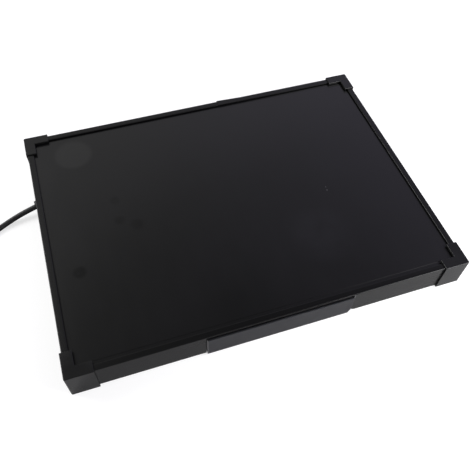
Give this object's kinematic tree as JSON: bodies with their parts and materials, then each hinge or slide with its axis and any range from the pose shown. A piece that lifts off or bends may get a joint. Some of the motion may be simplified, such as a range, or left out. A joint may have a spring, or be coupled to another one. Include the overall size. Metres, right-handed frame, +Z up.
{
  "type": "seedling heat mat",
  "caption": "Rigid heated panel for seed trays: a flat black plate in a black frame with corner caps, a wiring box inside and a coiled mains lead with a moulded plug.",
  "frame": {"origin": "centre of the underside of the capped frame, on the surface that the feet stand on", "axes": "+X along the long side to the right, +Y to the rear, +Z up; the cord leaves the -X side"},
  "size_m": [0.6723, 0.372, 0.044],
  "materials": {
    "panel": "smooth satin black coating on sheet aluminium",
    "rail_plastic": "satin black extruded plastic",
    "cap_plastic": "fine-grained black moulded plastic",
    "strip_metal": "dark grey anodised, slightly bluish",
    "tray_steel": "black powder coat",
    "foam_rubber": "black closed-cell foam",
    "silicone": "red-brown silicone",
    "foil": "bright foil",
    "foam_board": "off-white rigid foam",
    "foot_rubber": "matt black rubber",
    "screw_black": "black oxide",
    "screw_zinc": "zinc plated",
    "cord_rubber": "satin black flexible sheath",
    "nylon": "natural nylon",
    "box_plastic": "black moulded plastic",
    "brass": "plain brass",
    "cutout_body": "dark phenolic",
    "bracket_steel": "plain spring steel",
    "fuse_body": "pale ceramic sleeve",
    "wire_brown": "brown insulation",
    "wire_blue": "blue insulation",
    "wire_green": "green insulation with a yellow stripe",
    "tie_fabric": "black hook-and-loop tape",
    "plug_rubber": "moulded black rubber",
    "pin_nickel": "nickel plated"
  },
  "bodies": {
    "root": {"top_plate": "panel", "plate_gasket": "foam_rubber", "heating_cable": "silicone", "spreader_foil": "foil", "insulation_board": "foam_board", "base_tray": "tray_steel", "front_rail": "rail_plastic", "rear_rail_left": "rail_plastic", "rear_rail_right": "rail_plastic", "left_rail": "rail_plastic", "right_rail": "rail_plastic", "front_strip": "strip_metal", "foot_pads": "foot_rubber", "cap_screws": "screw_black", "tray_screws": "screw_black", "strip_screws": "screw_black", "strain_relief": "cord_rubber", "cord_inner_end": "cord_rubber", "clamp_seat": "nylon", "clamp_bar": "nylon", "clamp_screws": "screw_zinc", "wiring_box": "box_plastic", "wiring_box_lid": "box_plastic", "wiring_box_screws": "screw_zinc", "terminal_block": "nylon", "terminal_screws": "brass", "thermal_cutout": "cutout_body", "cutout_bracket": "bracket_steel", "thermal_fuse": "fuse_body", "live_core": "wire_brown", "neutral_core": "wire_blue", "earth_core": "wire_green", "cutout_lead": "wire_brown", "fuse_lead": "wire_brown", "element_lead_live": "wire_brown", "element_lead_neutral": "wire_blue", "earth_lead": "wire_green", "earth_tag": "brass", "earth_screw": "screw_zinc", "cord": "cord_rubber", "cord_tail": "cord_rubber", "cord_coil": "cord_rubber", "cord_tie": "tie_fabric", "plug_body": "plug_rubber", "plug_pins": "pin_nickel", "plug_earth_clips": "pin_nickel", "corner_cap_front_left": "cap_plastic", "corner_cap_front_right": "cap_plastic", "corner_cap_rear_left": "cap_plastic", "corner_cap_rear_right": "cap_plastic"}
  },
  "joints": []
}
